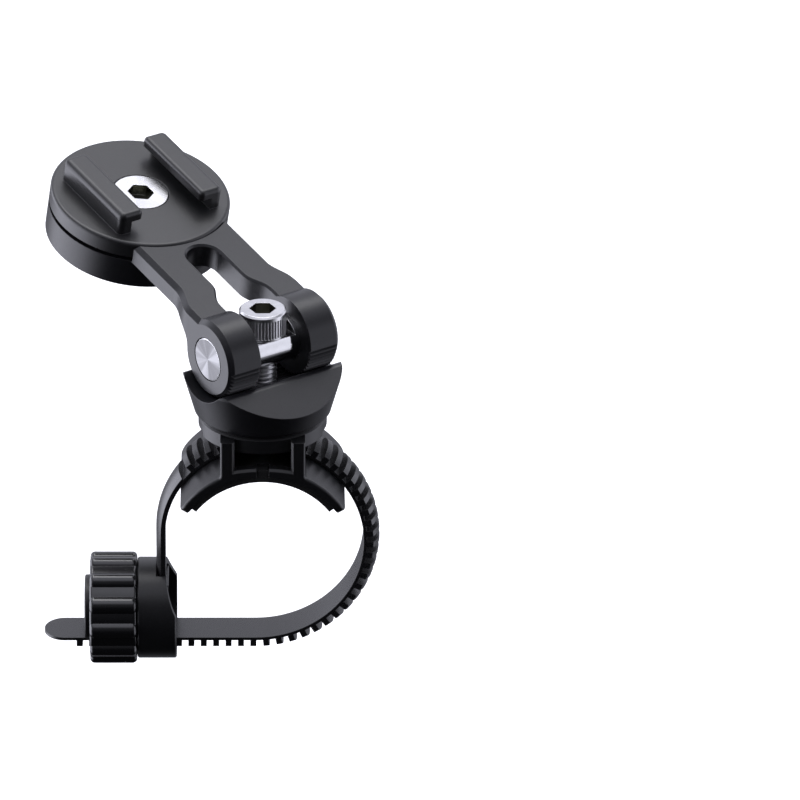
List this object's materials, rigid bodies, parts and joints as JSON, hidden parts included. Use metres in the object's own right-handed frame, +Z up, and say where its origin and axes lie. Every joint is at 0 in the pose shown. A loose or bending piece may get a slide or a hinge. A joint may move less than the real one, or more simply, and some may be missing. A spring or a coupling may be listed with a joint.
{
  "type": "bicycle phone mount",
  "caption": "Handlebar phone mount: toothed strap and saddle round the bar, screw-clamped forked arm, and a round head with two slide rails.",
  "frame": {"origin": "on the handlebar's axis, in the middle of the saddle's length", "axes": "+Y along the handlebar, +Z up through the saddle's screw, +X to the side away from the knob"},
  "size_m": [0.0716, 0.0746, 0.0999],
  "materials": {
    "black_nylon": "satin moulded",
    "pad_rubber": "matte",
    "insert_brass": "machined",
    "washer_nylon": "matte",
    "black_anodised": "satin anodised",
    "brushed_barrel": "polished side, brushed ends",
    "polished_steel": "polished",
    "black_composite": "satin moulded",
    "strap_nylon": "satin flexible",
    "knob_nylon": "satin gloss"
  },
  "bodies": {
    "base": {"saddle_bracket": "black_nylon", "saddle_pad": "pad_rubber", "threaded_insert": "insert_brass", "swivel_washer": "washer_nylon", "toothed_strap": "strap_nylon", "buckle_housing": "black_nylon", "hub_end_cap": "black_nylon"},
    "knob": {"tension_knob": "knob_nylon"},
    "turret": {"fork_seat": "black_anodised", "pivot_barrel": "brushed_barrel"},
    "pivot_screw_body": {"pivot_screw": "polished_steel"},
    "arm_body": {"arm": "black_anodised", "head_friction_ring": "pad_rubber"},
    "head": {"head_disc": "black_composite"},
    "head_screw_body": {"head_screw": "polished_steel"}
  },
  "joints": [
    {"name": "knob_turn", "type": "hinge", "parent": "base", "child": "knob", "pos_m": [-0.032, 0, -0.01982], "axis": [1, 0, 0], "continuous": true},
    {"name": "arm_yaw", "type": "hinge", "parent": "base", "child": "turret", "pos_m": [0, 0, 0.0279], "axis": [0, 0, 1], "continuous": true},
    {"name": "pivot_screw_turn", "type": "hinge", "parent": "turret", "child": "pivot_screw_body", "pos_m": [0, 0, 0.0453], "axis": [0, 0, 1], "continuous": true},
    {"name": "arm_pitch", "type": "hinge", "parent": "turret", "child": "arm_body", "pos_m": [0, 0, 0.04315], "axis": [0.8211, 0.5707, 0], "range_deg": [-30, 75]},
    {"name": "head_turn", "type": "hinge", "parent": "arm_body", "child": "head", "pos_m": [-0.02607, 0.03751, 0.06088], "axis": [0.1284, -0.1847, 0.9744], "continuous": true},
    {"name": "head_screw_turn", "type": "hinge", "parent": "arm_body", "child": "head_screw_body", "pos_m": [-0.02607, 0.03751, 0.06088], "axis": [0.1284, -0.1847, 0.9744], "continuous": true}
  ]
}
